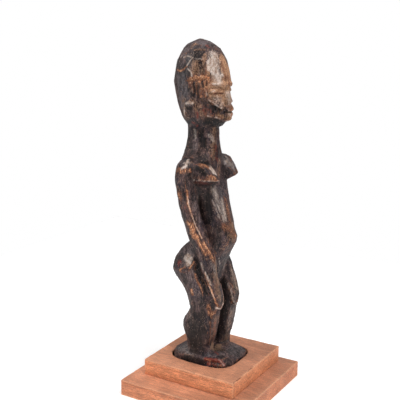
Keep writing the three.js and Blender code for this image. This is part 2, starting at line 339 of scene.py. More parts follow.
figure = {
    "seed": 7,
    "voxel": 0.8,
    "mostTriangles": 190000,
    "softenRounds": 16,
    "faceBox": ((-26, -40, 281), (26, -4, 324)),  # the face keeps its finer forms
    "faceMargin": 4,
    "faceSpared": 0.9,  # of the softening
    # name: (lowest height, width of the knife's facets) in millimetres
    "facets": {
        "slab": (-1, 9),
        "legs": (30, 8),
        "hips": (100, 8.5),
        "belly": (140, 9),
        "chest": (190, 9),
        "neck": (246, 7),
        "head": (290, 10),
    },
    "faceFacet": 5,
    "facetReach": 1.6,  # how far a facet can spread, in widths
    "alongGrain": 0.55,  # facets are longer up and down
    "turnWeight": 7.0,  # how much a change of direction counts against a change of place
    "chosenFirst": 0.5,  # below 1 the main facets take from their neighbours
    "facetRounds": 4,
    "tilt": 0.135,
    "flatness": 0.96,
    "flattenRounds": 70,
    "holdBack": 0.004,
    "markBlur": 5,
    "grainDepth": 0.07,  # the open grain that stands up and down the wood
    "grain": ((1, 0.12, 2.6, 11), (0.6, 0.3, 5.5, 12)),  # (weight, upright factor, wave length, seed)
    "wobble": (0.3, 5, 3),  # how uneven the cuts' widths are, over what length, and the seed
    "nicks": 560,  # small cuts all over, each between the least and the most of the next three
    "nickLength": (1.5, 9),
    "nickWidth": (0.6, 1.5),
    "nickDepth": (0.1, 0.36),
    "nickLean": 0.3,  # how far they stray from upright
    "nickScatter": 0.6,
    "nickMargin": 2,  # about the face, which has none
    # what stands out and what lies in: (smoothing rounds, millimetres at the start, at full strength)
    "edge": (6, 0.03, 0.22),
    "pit": (14, 0.08, 0.7),
    # cuts that stand out: name: (middle, the way it looks, width, mark on it, how strong). Some of these
    # marks are painted light: shade is painted shade, pale a painted highlight, and the cool grey one a
    # painted grey sheen.
    # Here and in the tables below, points and directions go to the figure's right, to its front and up.
    "mainFacets": {
        "forehead": ((14.5, 8, 338), (0.67, 0.69, 0.22), 24, "pale", 1),
        "foreheadMiddle": ((1.5, 14.5, 337), (0.12, 0.95, 0.27), 13, "tan", 0.5),
        "crownFront": ((1, 5, 355), (0.12, 0.75, 0.65), 9, "tan", 0.1),
        "temple": ((21.5, -5, 338), (0.94, 0.3, 0.18), 15, "pale", 0.2),
        "templeTop": ((17.5, -9, 351), (0.84, 0.12, 0.53), 12, "greySheen", 0.3),
        "crownSide": ((10, -12, 361), (0.48, 0.1, 0.87), 15, "greySheen", 0.55),
        "sideOfHead": ((20, -20, 345), (0.93, -0.12, 0.35), 7, "greySheen", 0.6),
        "shoulder": ((36, -11.5, 238.5), (0.55, 0.25, 0.79), 8, "pale", 0.35),
        "breastFront": ((17.5, 9.5, 232), (-0.12, 0.79, 0.6), 9, "pale", 0.95),
        "breastSide": ((31.8, 3, 229.5), (0.96, 0.2, 0.2), 11, "shade", 0.25),
        "breastEnd": ((25.6, 14.4, 226), (0.72, 0.68, 0.14), 8, "bare", 0.9),
        "breastUnder": ((27, 7, 220), (0.42, 0.25, -0.87), 11, "shade", 0.5),
        "farBreastTop": ((-18, 10, 235.5), (0.16, 0.72, 0.68), 12, "greySheen", 0.8),
        "torsoFront": ((9, 14, 196), (0.08, 0.95, 0.28), 16, "greySheen", 0.5),
        "torsoSide": ((21.5, 6.5, 196), (0.85, 0.52, 0.03), 15, "shade", 0.5),
        "hip": ((31.4, -11.4, 134), (0.9, -0.03, 0.43), 6.5, "pale", 0.82),
        "thigh": ((34, -4, 112), (0.99, 0.05, 0.1), 15, "greySheen", 0.3),
        "calf": ((31.6, 2, 62), (0.99, 0.08, -0.02), 17, "shade", 0.75),
        "shin": ((22, 17, 60), (0.18, 0.96, -0.16), 12, "tan", 0.4),
        "slabSide": ((32.9, -4, 20), (0.99, 0, 0.1), 15, "shade", 0.9),
        "slabCorner": ((30.5, 21.5, 21.5), (0.88, 0.42, 0.15), 9, "bare", 0.1),
    },
}

# What the knife and wear left on it, from the slab's middle: (half width, depth, points of the line).
# A depth below zero is a ridge that stands up. Only its right side shows in the photograph.
cuts = {
    "lid": (1.6, 0.45, (19.5, 6.5, 316), (16, 10.5, 318), (11.5, 13.5, 318), (8, 15.5, 316.5)),
    "eyeSlit": (1.1, 1.1,
        (20.6, 5.2, 311.6), (18.6, 7.8, 312), (16, 11, 312.4), (13, 13, 312.2), (9, 14.8, 311.6),
        (6.6, 15.6, 311.4),
    ),
    "underEye": (1.3, 0.35, (19.5, 6, 308.5), (15.5, 10.5, 307.6), (10.5, 13.8, 308)),
    "cheek": (2.3, 1.5, (19.6, 4.5, 303), (17, 7.5, 299.6), (13.3, 11, 297), (9.8, 14, 294.4)),
    "browEdge": (1.5, -0.5, (19, 5.6, 320.6), (15.6, 11, 321.6), (11.2, 15, 321), (5.5, 17.4, 319.4)),
    "cheekEdge": (1.3, -0.7, (19.4, 5.2, 305.3), (17, 8, 302), (13.3, 11.6, 299.3), (9.8, 14.5, 296.8)),
    "noseWing": (0.9, 0.7, (5.4, 17.2, 304.5), (6.5, 17, 301.8), (6.8, 17.6, 299)),
    "nostril": (0.8, 0.8, (7.6, 16.8, 301.5), (4, 18.4, 300.6), (1.8, 19.8, 300.8)),
    "mouthCorner": (1.2, 1.4, (8.6, 15.8, 292.6), (6.6, 18.2, 292.6), (4.4, 20.2, 292.6), (0, 21.7, 292.5)),
    "upperLip": (1.7, -0.6, (6.8, 18.4, 295), (4.4, 20.6, 295.2), (0, 21.8, 295.2)),
    "lowerLip": (1.8, -0.6, (6.4, 17.4, 289.8), (4, 19.6, 289.6), (0, 21.2, 289.5)),
    "underLip": (1, 0.5, (7, 16, 287), (3.5, 18.6, 286.6), (0, 19.6, 286.6)),
    "jaw": (1.2, -0.5, (17.7, 3.3, 288.4), (15.8, 6.9, 289.6), (12.4, 9.8, 287.4), (8, 13.4, 284.2)),
    "headEdgeOne": (1.2, -0.45,
        (17.6, -26.5, 347.4), (18.5, -21.2, 349), (19.6, -14.4, 347.5), (20.6, -17.4, 344.2),
        (21.6, -20.4, 339),
    ),
    "headEdgeTwo": (1.2, -0.4,
        (21.6, -20.4, 339), (22.4, -18.6, 336.2), (23.1, -14.5, 333.2), (23.6, -13, 329.4),
    ),
    "headEdgeThree": (1.2, -0.4,
        (21.5, -20.4, 339), (21.6, -24, 335.8), (20.6, -28.2, 333.6), (16.6, -35.7, 334.5),
    ),
    "templeTop": (1.2, -0.4, (19.7, -12, 346.6), (19.7, -7, 346.6), (18.6, -2, 347)),
    "templeEdge": (1.3, -0.4, (18.4, 1.6, 350), (19.2, 1.2, 338), (19.9, 1.6, 331)),
    "crownHollow": (5, 0.7, (16.8, -9, 352), (15.4, -3.6, 352)),
    "backHollow": (4, 0.8, (20.3, -27, 341), (21, -24, 338)),
    "hairStep": (1.8, 0.9, (23.6, -15, 324), (23.4, -8, 325.3), (21.6, -2, 325.6), (19.2, 4.5, 325.6)),
    "hairEdge": (1.4, -0.55, (23.7, -15, 327), (23.1, -8, 328.6), (21.6, -1.5, 329), (19, 4.7, 328)),
    "lockOne": (1.5, 0.8, (23.6, -11.2, 324), (23.5, -9.6, 317), (22.9, -9.8, 311)),
    "lockTwo": (1.3, 0.8, (23.2, -5.4, 322), (23, -6.2, 316), (22.4, -5.2, 308)),
    "lockThree": (1.4, 0.8, (22, -1.6, 324), (21.7, -0.4, 319)),
    "lockFour": (1.2, 0.7, (20.3, 2.7, 324.5), (20.3, 2.2, 320)),
    "behindCheek": (2.8, 1.2, (21.5, -2.2, 306), (21, -0.5, 302), (20.2, 1.2, 298)),
    "sideOne": (1.1, 0.6, (22.8, -12.5, 306), (21.9, -9.5, 296), (20.8, -7.5, 287)),
    "sideTwo": (1, 0.5, (21.6, -3, 298), (19.9, -1.8, 289), (18.6, -1.8, 284)),
    "neckOne": (1.4, 0.5, (14.8, -6.7, 271), (15.2, -6.2, 258)),
    "neckTwo": (1.2, 0.5, (13.3, -2.6, 264), (13.8, -2.2, 255)),
    "neckOval": (1.9, 0.6, (15.5, -14, 272), (15.7, -13.2, 265.5)),
    "aboveBreast": (1.8, 0.9, (27, -5.5, 241), (22, 0.5, 240), (16.5, 4, 238.4)),
    "armRidge": (1.3, -0.5,
        (41.2, -7, 213), (41.2, -5.3, 199), (39.6, -1.8, 187), (37.8, 2.3, 175), (34.8, 8, 162.5),
        (31.8, 14, 149.5), (28, 18, 140),
    ),
    "armInside": (1.2, -0.35, (24, -1.5, 196), (22.5, 1.5, 181), (24.5, 8, 166), (23, 13.5, 152)),
    "torsoOne": (1, -0.4, (3.3, 13.6, 198), (3, 16.2, 189.5), (2.4, 18.8, 181)),
    "torsoTwo": (1.2, 0.4, (6, 12.5, 202), (6.4, 16, 188), (6.6, 19, 178)),
    "ribOne": (1, 0.4, (23, 4.5, 205), (22.4, 5.6, 190), (21, 9, 174)),
    "ribTwo": (1, 0.4, (20.4, 7.8, 203), (20, 8.8, 190), (19.6, 11.5, 176)),
    "gougeOne": (2.8, 2.3, (31.6, 0.4, 128), (32.8, 2.6, 122.5), (32.4, 5, 118.5)),
    "gougeTwo": (2.4, 2.2, (33.6, 4.4, 115.5), (32.8, 6.8, 111.5)),
    "gougeThree": (2, 1.8, (31.8, 9, 110.5), (31, 11.4, 103), (30.6, 12.6, 99)),
    "thighLine": (0.9, -0.4, (34.6, 1, 118.5), (34.4, 2.6, 111), (33, 6.6, 105.5), (32.4, 8.7, 98)),
    "hipSplit": (0.8, 0.4, (29.6, -14.6, 138), (31, -9.6, 135.4), (31.2, -6.4, 133)),
    "thighCrack": (0.8, 0.5, (35, -5, 112), (34, -4.6, 104), (33.2, -3.2, 96)),
    "hipLine": (1, -0.35,
        (35.4, -18.7, 122.4), (34.9, -12.8, 126.4), (34.4, -6.8, 126.5), (31.3, -3.9, 132.6),
    ),
    "handEdge": (1.2, -0.45,
        (34.6, 12.5, 124), (33, 16.5, 112), (32.2, 18.6, 105.5), (29.8, 20.9, 97.5), (26.6, 22.2, 89.5),
        (22, 22.4, 82.5),
    ),
    "handInner": (1.5, -0.8,
        (16.7, 24.5, 86.5), (14.9, 24, 90.4), (14.2, 23, 96), (13.8, 21.7, 101), (13, 19, 112),
    ),
    "handTip": (1.2, -0.5, (26.2, 21.6, 84.2), (20.8, 23.4, 81.9), (16.7, 24.5, 86.5)),
    "armLine": (1.1, -0.35, (28.1, 10.2, 161.2), (26.7, 15.7, 148.5), (23.9, 19.2, 135)),
    "shinEdge": (1.4, -0.5, (29.9, 17.2, 74), (27.6, 16, 62), (26.6, 14.6, 51), (25, 12.6, 40)),
    "belowHand": (1.8, 1.2, (31.3, 15.4, 84), (30.4, 17.2, 77)),
    "kneeNick": (1.3, 0.8, (29, 19.3, 79), (25.5, 21, 78.6)),
    "slabChip": (2.4, 1.3, (31.6, 15, 23.5), (30.6, 21, 22.5), (26, 28, 21.5)),
}
# cuts that are on its left as well
bothSides = (
    "lid", "eyeSlit", "underEye", "cheek", "cheekEdge", "noseWing", "nostril", "mouthCorner", "upperLip",
    "lowerLip", "underLip", "jaw", "browEdge", "shinEdge", "headEdgeTwo", "templeTop", "templeEdge",
    "hairStep", "hairEdge", "lockOne", "lockTwo", "lockThree", "armRidge", "armInside",
)


def placed(line, side=-1):
    # right, front and up turned into x, y and z; with side 1 mirrored onto the figure's left
    return np.array(line, float) * (side, -1, 1)


def inBox(points, low, high, margin):
    inside = np.ones(len(points))
    for axis in range(3):
        inside *= ramp(points[:, axis], low[axis] - margin, low[axis] + margin)
        inside *= ramp(-points[:, axis], -high[axis] - margin, -high[axis] + margin)
    return inside


def facetWidths(points, settings):
    widths = np.full(len(points), 1.0)
    for low, width in settings["facets"].values():
        widths[points[:, 2] >= low] = width
    face = inBox(points, *settings["faceBox"], settings["faceMargin"])
    return widths * (1 - face) + settings["faceFacet"] * face


def facesOf(mesh):
    # the remeshed skin is all quads, so each face has four corners
    return valuesOf(mesh.loops, "vertex_index", 1, np.int64).reshape(len(mesh.polygons), -1)


def faceNormals(points, faces):
    across = points[faces[:, 2]] - points[faces[:, 0]]
    along = points[faces[:, 3]] - points[faces[:, 1]]
    return unit(np.cross(across, along))


class FacetFinder:
    # faces sorted by height, so that those near a facet are found quickly
    def __init__(self, centres, normals, settings):
        self.order = np.argsort(centres[:, 2], kind="stable")
        self.centres = centres[self.order]
        self.normals = normals[self.order]
        self.heights = self.centres[:, 2]
        self.settings = settings

    def near(self, centre, normal, width):
        # the sorted places of the faces about a facet, and how far each is in place and direction
        grain = self.settings["alongGrain"]
        reach = self.settings["facetReach"] * width
        low, high = np.searchsorted(self.heights, (centre[2] - reach / grain, centre[2] + reach / grain))
        gap = self.centres[low:high] - centre
        inside = np.flatnonzero((np.abs(gap[:, 0]) < reach) & (np.abs(gap[:, 1]) < reach))
        gap = gap[inside] * (1, 1, grain)
        turn = 1 - self.normals[low:high][inside] @ normal
        return inside + low, (gap ** 2).sum(1) / width ** 2 + self.settings["turnWeight"] * turn

    def spread(self, widths, rng):
        free = np.ones(len(widths), bool)
        seeds = []
        for index in rng.permutation(len(widths)):
            if not free[index]:
                continue
            seeds.append(index)
            near, away = self.near(self.centres[index], self.normals[index], widths[index])
            free[near] &= away > 1
        return np.array(seeds)

    def share(self, middles, facings, spans, chosen):
        best = np.full(len(self.order), np.inf)
        label = np.zeros(len(self.order), np.int64)
        for number in range(len(middles)):
            near, away = self.near(middles[number], facings[number], spans[number])
            if number < chosen:
                away = away * self.settings["chosenFirst"]
            closer = away < best[near]
            best[near[closer]] = away[closer]
            label[near[closer]] = number
        return label


def unit(vectors):
    return vectors / np.maximum(np.linalg.norm(vectors, axis=1), 1e-9)[:, None]


def sumUp(label, vectors, count):
    return np.stack([np.bincount(label, column, count) for column in vectors.T], 1)


def shareFacets(centres, normals, widths, settings):
    # every face goes to the facet that is nearest in place and in direction
    rng = np.random.default_rng(settings["seed"])
    finder = FacetFinder(centres, normals, settings)
    seeds = finder.spread(widths[finder.order], rng)
    mainMiddles, mainFacings, mainWidths, _, _ = zip(*settings["mainFacets"].values())
    own = len(mainWidths)
    count = own + len(seeds)
    spans = np.concatenate([mainWidths, widths[finder.order][seeds]])
    middles = np.concatenate([placed(mainMiddles), finder.centres[seeds]])
    facings = unit(np.concatenate([placed(mainFacings), finder.normals[seeds]]))
    for _ in range(settings["facetRounds"]):
        label = finder.share(middles, facings, spans, own)
        members = np.maximum(np.bincount(label, minlength=count), 1)[:, None]
        middles[own:] = (sumUp(label, finder.centres, count) / members)[own:]
        facings[own:] = unit(sumUp(label, finder.normals, count))[own:]
    facings[own:] = unit(facings[own:] + rng.normal(0, settings["tilt"], (count - own, 3)))
    unsorted = np.empty_like(label)
    unsorted[finder.order] = label
    return unsorted, facings


def flattenFacets(points, faces, targets, settings):
    # each vertex moves onto the planes of the faces around it, again and again
    corner = faces.ravel()
    face = np.repeat(np.arange(len(faces)), faces.shape[1])
    number = np.bincount(corner, minlength=len(points))[:, None]
    start = points.copy()
    facing = targets[face]
    for _ in range(settings["flattenRounds"]):
        centres = points[faces].mean(1)
        off = ((centres[face] - points[corner]) * facing).sum(1)
        points = points + sumUp(corner, off[:, None] * facing, len(points)) / number
        points += settings["holdBack"] * (start - points)
    return points


def knifeCut(mesh, web, settings):
    points = pointsOf(mesh) - figureSpot
    faces = facesOf(mesh)
    centres = points[faces].mean(1)
    normals = faceNormals(points, faces)
    widths = facetWidths(centres, settings)
    label, facings = shareFacets(centres, normals, widths, settings)
    targets = unit(facings[label] * settings["flatness"] + normals * (1 - settings["flatness"]))
    points = flattenFacets(points, faces, targets, settings)
    movePoints(mesh, web.smooth(points, 1, 1) + figureSpot)
    print("figure has", len(facings), "facets")
    corner = faces.ravel()
    number = np.bincount(corner, minlength=len(points))

    def spreadOut(values):
        return np.bincount(corner, np.repeat(values, faces.shape[1]), len(points)) / number

    marks = {"facet": spreadOut(np.random.default_rng(settings["seed"]).uniform(0, 1, len(facings))[label])}
    for place, (_, _, _, mark, strength) in enumerate(settings["mainFacets"].values()):
        soft = web.blur(spreadOut((label == place) * strength), settings["markBlur"])
        marks[mark] = marks.get(mark, 0) + soft
    return marks


def gapTo(points, line, reach):
    # the points near a line, and how far each is from it
    line = np.array(line, float)
    near = np.flatnonzero(((points > line.min(0) - reach) & (points < line.max(0) + reach)).all(1))
    gap = np.linalg.norm(points[near] - line[0], axis=1)
    for start, end in zip(line[:-1], line[1:]):
        run = end - start
        share = np.clip((points[near] - start) @ run / (run @ run), 0, 1)
        gap = np.minimum(gap, np.linalg.norm(points[near] - start - share[:, None] * run, axis=1))
    return near, gap


waves = 7
waveRange = (0.6, 1.4)
waveLevel = 3.2  # brings the sum of the waves to between about -1 and 1


def ripple(points, length, seed):
    rng = np.random.default_rng(seed)
    total = np.zeros(len(points))
    for _ in range(waves):
        way = rng.normal(0, 1, 3)
        way *= rng.uniform(*waveRange) * 2 * math.pi / length / np.linalg.norm(way)
        total += np.sin(points @ way + rng.uniform(0, 2 * math.pi))
    return total / waveLevel


def nickLines(points, normals, settings):
    # short cuts that run more or less up and down the wood
    rng = np.random.default_rng(settings["seed"] + 1)
    spots = rng.integers(0, len(points), settings["nicks"])
    for spot in spots:
        way = np.array([0, 0, 1.0]) + rng.normal(0, settings["nickLean"], 3)
        way -= way @ normals[spot] * normals[spot]
        way *= rng.uniform(*settings["nickLength"]) / np.linalg.norm(way)
        middle = points[spot] + rng.normal(0, settings["nickScatter"], 3)
        width = rng.uniform(*settings["nickWidth"])
        yield width, rng.uniform(*settings["nickDepth"]), [middle - way / 2, middle + way / 2]


def groove(points, line, width, wobble):
    # the points near a cut, and how deep each lies in it, from 0 to 1
    near, gap = gapTo(points, line, 2 * width)
    return near, np.clip(1 - (gap * wobble[near] / width) ** 2, 0, 1)


def cutLines(points, normals, settings):
    amount, length, seed = settings["wobble"]
    wobble = 1 + amount * ripple(points, length, seed)
    depth = np.zeros(len(points))
    plain = 1 - inBox(points, *settings["faceBox"], settings["nickMargin"])
    for width, deep, line in nickLines(points, normals, settings):
        near, profile = groove(points, line, width, wobble)
        depth[near] += deep * plain[near] * profile
    for name, (width, deep, *line) in cuts.items():
        for side in (-1, 1) if name in bothSides else (-1,):
            near, profile = groove(points, placed(line, side), width, wobble)
            depth[near] += deep * profile
    return points - depth[:, None] * normals


def bulges(web, points, normals, rounds):
    # above zero where the surface stands out from what is around it, below where it lies in
    return -((web.blur(points, rounds) - points) * normals).sum(1)


def thinned(mesh, most):
    # fewer triangles, and for each point that is left the old point nearest to it
    made = applied(mesh, "DECIMATE", {"ratio": most / (2 * len(mesh.polygons))})
    finder = KDTree(len(mesh.vertices))
    for vertex in mesh.vertices:
        finder.insert(vertex.co, vertex.index)
    finder.balance()
    return made, np.array([finder.find(vertex.co)[1] for vertex in made.vertices])


def lineOf(cut):
    return cuts[cut][2:]


# Where the dark skin of the wood is worn or stained, and where painted shade, highlights and a grey sheen
# go on it: (strength, half width, points of the stroke)
bareWear = [
    # head
    (0.5, 1.4, (13, 0, 357), (8, 3, 357.5), (3, 4, 357)),
    (0.6, 1.5, *lineOf("templeEdge")),
    (0.8, 1.3, *lineOf("headEdgeThree")),
    (0.6, 1.8, (6.2, 12.8, 344), (5, 15, 333), (4, 16.2, 326)),
    (1.15, 3,
        (23.8, -14, 325.4), (23.5, -9, 328.2), (22.6, -4.6, 326.4), (21.4, -1, 328.8), (19.4, 4, 326.4),
    ),
    (0.7, 2.2, (0, 17, 330), (0, 18.4, 322)),
    (0.85, 1.5, (23.5, -17.4, 325), (23.8, -14.6, 322.6)),
    (0.85, 1.8, (21.2, -0.3, 326), (21.2, 0.9, 316)),
    (0.5, 1.2, (23.5, -8.6, 325), (23.2, -7.4, 320), (23.2, -8.4, 315)),
    (0.62, 1.9, (22.6, -3.8, 325), (22.2, -2.4, 316), (21.8, -3.4, 309)),
    (0.85, 2.2, (20.6, 1.6, 321), (20.8, 2.2, 310)),
    (0.6, 0.9, (23.8, -13.9, 319.2), (23.4, -11.1, 315.2), (22.8, -7.1, 311.3), (22.2, -3.9, 307.8)),
    (0.5, 1.6, (18.7, 5.5, 306.5), (16, 9, 300.5)),
    (0.5, 1.2, (23, -20, 301), (22.9, -16.7, 302), (22.4, -13.6, 301)),
    (0.75, 2.6, (0, 18.6, 310), (0, 20.5, 303), (3.5, 19.4, 297), (0, 21.6, 295)),
    (0.62, 0.9, (23, -22.6, 296), (22.4, -22, 291.5), (22.6, -21, 287.6)),
    (0.5, 1.6, (19.2, 1.4, 294), (18.8, 2, 288)),
    (0.65, 1.4, (17.7, 3.3, 288.6), (12.4, 9.8, 287.6), (5, 16, 284.6), (-2, 18, 284.6)),
    # trunk and arms
    (0.6, 1.3, (31.5, -9, 241), (27, -7, 241.8)),
    (0.95, 2.7, (27, 1.4, 238), (23.4, 5.2, 237.4), (21.6, 8, 235.4)),
    (0.8, 2.4,
        (39.4, -20.6, 231.7), (39.6, -17, 234), (40.8, -13.6, 232), (38.4, -8.9, 233.4),
        (35.7, -6.9, 233.4),
    ),
    (0.5, 1, (-14.4, 7, 238.4), (-17, 13, 232.5), (-18.5, 18.5, 225)),
    (0.9, 2.8, (21, 16, 225.6), (26.5, 13.4, 225.6)),
    (0.4, 1.7, (33.3, -3, 225.6), (32, 3, 225.6)),
    (0.5, 1.4, (31.6, 4.4, 225.6), (30.2, 8.8, 225)),
    (0.9, 0.9, (33, 2.4, 223.6), (29.2, 11.2, 223.2), (24.5, 16.3, 222.8), (18.9, 18.5, 222.6)),
    (0.8, 2.8, (41.6, -16.5, 210), (41.5, -16, 204)),
    (0.45, 1.6, (41.2, -14.5, 201), (40.6, -13, 192)),
    (0.9, 1, (41.4, -7, 213), (41.4, -5.3, 199), (39.8, -1.8, 187), (38, 2.3, 175), (35, 8, 162.5)),
    (0.62, 3.2, (-3, 14, 198), (-3.4, 17.6, 186), (-2.4, 21, 174)),
    (1.1, 1.2, (40, -7, 181), (38.8, 0, 178), (38, 3, 174)),
    (1.05, 3, (40, -6, 178), (39.8, 0, 172), (39.4, -2, 166.5), (38.8, 4, 163)),
    (0.75, 4.4, (10, 21, 171), (4, 23, 169), (-1, 25, 163), (-4, 27, 158)),
    (0.8, 2.2, (38.5, 5.3, 160.7), (37.3, 8.4, 154.4), (35.2, 12.8, 146)),
    (0.6, 0.9, (24.6, 8.4, 165), (23.4, 13.2, 153.5), (18, 15.8, 141.5)),
    (0.88, 2.6, (34.3, 10.3, 156), (33.4, 12.6, 151.5), (30.8, 16, 145), (27.7, 19, 136.5)),
    (0.5, 2.4, (-1.5, 28, 153), (2.4, 26, 147), (3, 22.4, 140)),
    # hips, thighs and hands
    (0.85, 1.3, (34.4, -6.8, 126.6), (31.4, -3.9, 132.6)),
    (0.5, 1.5, (31.2, -2, 131), (32.6, -0.6, 124)),
    (0.5, 1.1, (34.9, -4.6, 128), (35, -8, 124)),
    (0.75, 1.3, (35.5, -18.7, 122.4), (35, -12.8, 126.4)),
    (0.7, 1, (34.6, 0.2, 121.6), (34.7, 1.1, 115.7)),
    (0.7, 2.4, (33, 5.6, 119), (33, 8, 111)),
    (0.55, 3, (27, 20, 118), (25, 21, 108)),
    (0.75, 0.8,
        (34.4, 1.6, 115.4), (34.1, 3.3, 112.6), (33.4, 5.4, 109.4), (32.9, 7, 105), (32.7, 8.4, 101),
    ),
    (0.55, 0.8, *lineOf("thighLine")),
    (0.95, 1.2, *lineOf("handEdge")),
    (0.9, 1.5, (33.6, -5.1, 102), (33.1, -3.5, 97)),
    (0.75, 1.2, (26.2, 21.6, 84.3), (23.9, 21.8, 82.8), (20.8, 23.4, 82), (19.1, 24.3, 84)),
    (0.8, 2.2, (31.5, 15.2, 87), (30.6, 16.8, 78), (26.4, 20.8, 79)),
    # shins and calves
    (0.6, 1.4, (-12.5, 20, 79), (-17, 22.6, 78)),
    (0.8, 1.5, (31.3, 15.7, 82.4), (30.2, 17.7, 77), (29.6, 18.4, 73)),
    (0.4, 1.2, (29.8, 16.6, 70), (27, 15.2, 52), (25.6, 14.2, 40)),
    # slab
    (0.65, 1.3, (31.8, 14.6, 24.6), (31.2, 18.4, 24)),
    (0.6, 1.1, (29.8, 22, 23), (28.8, 24.8, 21.4)),
]

tanWear = [
    # head
    (0.55, 2.4, (13.5, -19.4, 358.2), (11.2, -16, 361.3)),
    (0.55, 1.4, (15.8, -15.5, 355.3), (15, -10, 356), (13.2, -3.9, 355.6)),
    (0.5, 1.2, (13.2, -3.9, 355.6), (14.6, -1.3, 351.7), (16.1, -0.3, 347.7)),
    (0.5, 3, (7.9, 6.1, 351.7), (6.8, 10.3, 345.8)),
    (0.6, 2.6, (15.8, -2.3, 350.7), (18.5, -1.8, 343.8)),
    (0.4, 7, (21, -6, 342), (22, -5, 333)),
    (0.95, 7, (2, 12, 345), (3, 15, 338), (2, 16, 330), (-6, 15, 334)),
    (0.65, 6, (22, -11, 341), (23, -10, 332)),
    (0.5, 5, (20, -1, 340), (21, -1, 332)),
    (0.8, 3.4, (18.8, 2.8, 337), (19.4, 3.6, 329)),
    (0.95, 7.5, (17, 8, 321), (9, 15, 321), (0, 18, 321), (-9, 15, 321), (-17, 8, 321)),
    (0.55, 6, (23, -12, 318), (22, -3, 316), (21, 3, 318)),
    (0.2, 8, (21, -29, 328), (22, -26, 314), (22, -25, 302)),
    (0.95, 6.5, (17, 9, 314), (9, 14, 314), (0, 17, 312), (-9, 14, 314), (-17, 9, 314)),
    (0.4, 6, (21, 0, 316), (21, -2, 306)),
    (0.9, 6, (6, 16, 304), (0, 19, 304), (-6, 16, 304)),
    (0.62, 5, (17, 8, 305), (9, 14, 303), (-9, 14, 303)),
    (0.35, 5, (22, -16, 306), (23, -20, 300)),
    (0.5, 3.5, (22.4, -20, 303), (22, -10, 303), (21.4, -8, 294)),
    (0.35, 5, (20, 0, 298), (17, 5, 294)),
    (0.5, 4.5, (9, 14, 296), (-9, 14, 296)),
    (0.45, 7, (22, -24, 302), (21, -22, 286)),
    (1, 5.5, (0, 19, 300), (0, 19, 292), (0, 18, 286)),
    (0.5, 6, (21, -5, 298), (19, -2, 290), (14, 4, 288)),
    (0.6, 4, (12, 11, 289), (4, 16, 287)),
    # neck
    (0.55, 4.5, (6, 5, 277), (6, 5, 262), (8, 5, 250)),
    (0.55, 4.6, (10, 5, 256), (10, 7, 244)),
    # trunk and arms
    (0.5, 4, (0, 7, 240), (0, 10, 222)),
    (0.5, 4, (-2, 18, 186), (-3, 21, 176)),
    (0.65, 7, (2, 26, 158), (-3, 24, 168)),
    (0.35, 7, (12, 22, 150), (6, 24, 146)),
    # hips, thighs and hands
    (0.5, 3, (30, 15, 140), (30.4, 18, 124)),
    (0.7, 3.6, (24.5, 18, 137), (23.5, 20.6, 124), (21, 22, 110)),
    (0.5, 3, (-17.8, 14, 124), (-20, 18, 108), (-19.5, 21, 96)),
    (0.6, 4.5, (28, 20, 122), (25, 22, 106), (22, 23, 94)),
    (0.4, 4, (-14, 20, 105), (-14, 21, 90)),
    # shins and calves
    (0.55, 3.5, (22, 18.5, 70), (18, 15.5, 48)),
    (0.42, 4.6, (24, 18, 70), (18, 16, 52), (18, 12, 37)),
    (0.45, 4, (-17, 18, 66), (-14, 16, 53), (-18, 13, 39), (-15, 12, 32)),
]
